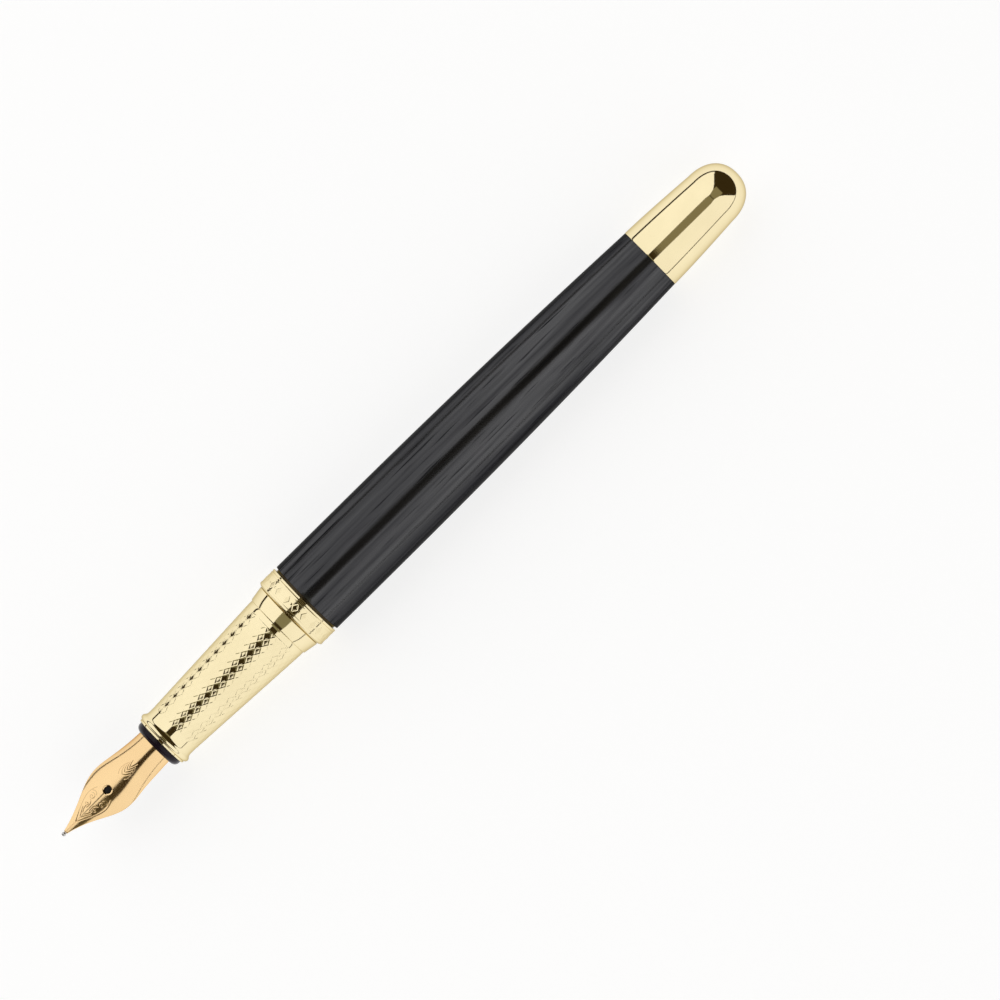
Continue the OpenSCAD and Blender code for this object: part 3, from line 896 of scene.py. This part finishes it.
stand_in(reservoir_piece(), "converter_tube", "clear")
stand_in(ferrule_piece(), "converter_ferrule", "steel")
stand_in(knob_piece(), "converter_knob", "gloss_black")
stand_in(rod_piece(), "piston_rod", "matt_black")

for node, look in (
    ("thread_bush", "dark_metal"),
    ("barrel_tube", "brass"),
    ("end_plug", "brass"),
    ("tenon_seal", "rubber"),
    ("converter_guide", "matt_black"),
    ("agitator_ball", "steel"),
    ("drive_nut", "white_plastic"),
    ("piston_seal", "rubber"),
):
    dress(frame["nodes"][node], look)

# ---------------------------------------------------------------- studio

PEN_MIDDLE = (CAD_BOX[0] + CAD_BOX[1]) / 2
PEN_CENTRE = Vector((PEN_MIDDLE.x, PEN_MIDDLE.y, AXIS_Z))
PEN_LENGTH = CAD_BOX[1].x - CAD_BOX[0].x
VIEW_ELEVATION = math.radians(81)
VIEW_ROLL = math.radians(44.65)  # the pen's slope across the picture
TO_CAMERA = Vector((0, -math.cos(VIEW_ELEVATION), math.sin(VIEW_ELEVATION)))
ACROSS = Vector((0, math.sin(VIEW_ELEVATION), math.cos(VIEW_ELEVATION)))
FRAME_WIDTH = PEN_LENGTH * 1.058  # what the picture spans at the pen
DISTANCE = PEN_LENGTH * 9.92
AIM_ALONG = PEN_LENGTH * 0.0785   # where the lens points, along the pen from its middle
EYE_ALONG = PEN_LENGTH * 0.238    # where the camera stands, along the pen from its middle
OFF_CENTRE = PEN_LENGTH * 0.0702  # how far both lie to the side of the pen

WHITE = (1.0, 1.0, 1.0)
WARM = (1.0, 0.94, 0.6)           # reflected by the grip's end
AMBER = (1.0, 0.9, 0.55)          # reflected by the finial
TENT_R, FILL_R = 1.0, 1.1         # the lights' distances from the pen's axis, in metres
LEFT_EDGE, RIGHT_EDGE = 82.2, -86.8
FILL_RADIANCE = 0.22
NEAR_FILL_HALF, FAR_FILL_HALF = 26, 18


def emitter(name, shade, strength, glow=WHITE):
    """A plain surface that gives off light."""
    look = Look(name, (shade, shade, shade), Roughness=0.9, Specular_IOR_Level=0.0)
    look.shader.inputs["Emission Color"].default_value = (*glow, 1.0)
    look.shader.inputs["Emission Strength"].default_value = strength
    look.colour(look.mix(look.noise(1.5), (shade,) * 3, (shade * 0.99,) * 3))
    return look.material


def stage_mesh(name, points, faces, material, seen_by=("camera", "diffuse", "glossy", "shadow")):
    """A piece of the studio, seen only by some kinds of ray."""
    mesh = bpy.data.meshes.new(name)
    mesh.from_pydata(points, [], faces)
    mesh.materials.append(material)
    thing = bpy.data.objects.new(name, mesh)
    bpy.context.scene.collection.objects.link(thing)
    for ray in ("camera", "diffuse", "glossy", "transmission", "shadow"):
        setattr(thing, "visible_" + ray, ray in seen_by)
    return thing


def make_stage():
    """A round pale floor, a pale wall far behind it, and a dimmer floor for reflections."""
    reach, sides, wall_top = 6.0, 96, 5.0
    ring = [(reach * math.cos(a), reach * math.sin(a)) for a in
            [2 * math.pi * k / sides for k in range(sides)]]
    stage_mesh("floor", [(x, y, 0.0) for x, y in ring], [tuple(range(sides))],
               emitter("floor_white", 0.36, 0.78), ("camera", "diffuse", "transmission"))
    points = [(x, y, z) for z in (-0.01, wall_top) for x, y in ring]
    faces = [(k, (k + 1) % sides, sides + (k + 1) % sides, sides + k) for k in range(sides)]
    stage_mesh("wall", points, faces, emitter("wall_white", 0.3, 0.8), ("camera", "transmission"))
    stage_mesh("mirrored_floor", [(x, y, -0.001) for x, y in ring], [tuple(range(sides))],
               emitter("mirrored_white", 0.3, 0.7), ("glossy",))


def tent_panel(name, plan, edge, radius, radiance, glow=WHITE):
    """A curved panel of light round the pen, with angles in degrees from straight up towards +Y.

    plan lists (place along X, first angle), and edge is the last angle all along it.
    """
    steps = 24
    points, faces = [], []
    for x, first in plan:
        for k in range(steps + 1):
            a = math.radians(first + (edge - first) * k / steps)
            points.append((x, radius * math.sin(a), AXIS_Z + radius * math.cos(a)))
    for i in range(len(plan) - 1):
        for k in range(steps):
            a = i * (steps + 1) + k
            faces.append((a, a + 1, a + steps + 2, a + steps + 1))
    stage_mesh(name, points, faces, emitter(name, 0.0, radiance, glow), ("diffuse", "glossy", "transmission"))


def make_lights():
    """A tent of light over the pen, open along a dark slot that the camera looks through."""
    world = bpy.data.worlds.new("room")
    world.use_nodes = True
    world.node_tree.nodes["Background"].inputs["Color"].default_value = (0.034, 0.023, 0.008, 1)
    bpy.context.scene.world = world
    middle = math.degrees(VIEW_ELEVATION) - 90
    # the dark slot's half width in degrees, at places along X: it flares past the finial
    slot = [(-0.95, 18.6), (-0.30, 18.6), (-0.27, 12.2), (0.14, 12.2), (0.34, 18), (0.52, 30),
            (0.70, 48), (0.85, 70), (0.95, 91)]
    tent_panel("left_light", [(x, middle + w) for x, w in slot], LEFT_EDGE, TENT_R, 1.02)
    tent_panel("right_light", [(x, middle - w) for x, w in slot], RIGHT_EDGE, TENT_R, 0.98)
    tent_panel("near_fill", [(x, middle - NEAR_FILL_HALF) for x in (-0.8, -0.28)],
               middle + NEAR_FILL_HALF, FILL_R, FILL_RADIANCE, WARM)
    tent_panel("far_fill", [(x, middle - FAR_FILL_HALF) for x in (0.13, 0.6)],
               middle + FAR_FILL_HALF, FILL_R, FILL_RADIANCE, AMBER)


def make_camera():
    """A long lens square to the pen's axis, aimed so that the pen sits off centre."""
    camera = bpy.data.cameras.new("camera")
    camera.sensor_width = 36.0
    camera.lens = camera.sensor_width * DISTANCE / FRAME_WIDTH
    camera.clip_start, camera.clip_end = 0.05, 50.0
    view = bpy.data.objects.new("camera", camera)
    aim = PEN_CENTRE + Vector((1, 0, 0)) * AIM_ALONG - ACROSS * OFF_CENTRE
    eye = PEN_CENTRE + Vector((1, 0, 0)) * EYE_ALONG - ACROSS * OFF_CENTRE
    eye += TO_CAMERA * DISTANCE
    back = (eye - aim).normalized()
    along = Vector((1, 0, 0))
    along = (along - back * along.dot(back)).normalized()
    across = back.cross(along)
    right = along * math.cos(VIEW_ROLL) - across * math.sin(VIEW_ROLL)
    up = along * math.sin(VIEW_ROLL) + across * math.cos(VIEW_ROLL)
    view.matrix_world = Matrix.Translation(eye) @ Matrix((right, up, back)).transposed().to_4x4()
    bpy.context.scene.collection.objects.link(view)
    bpy.context.scene.camera = view


make_stage()
make_lights()
make_camera()
bpy.context.scene.view_settings.view_transform = "Standard"
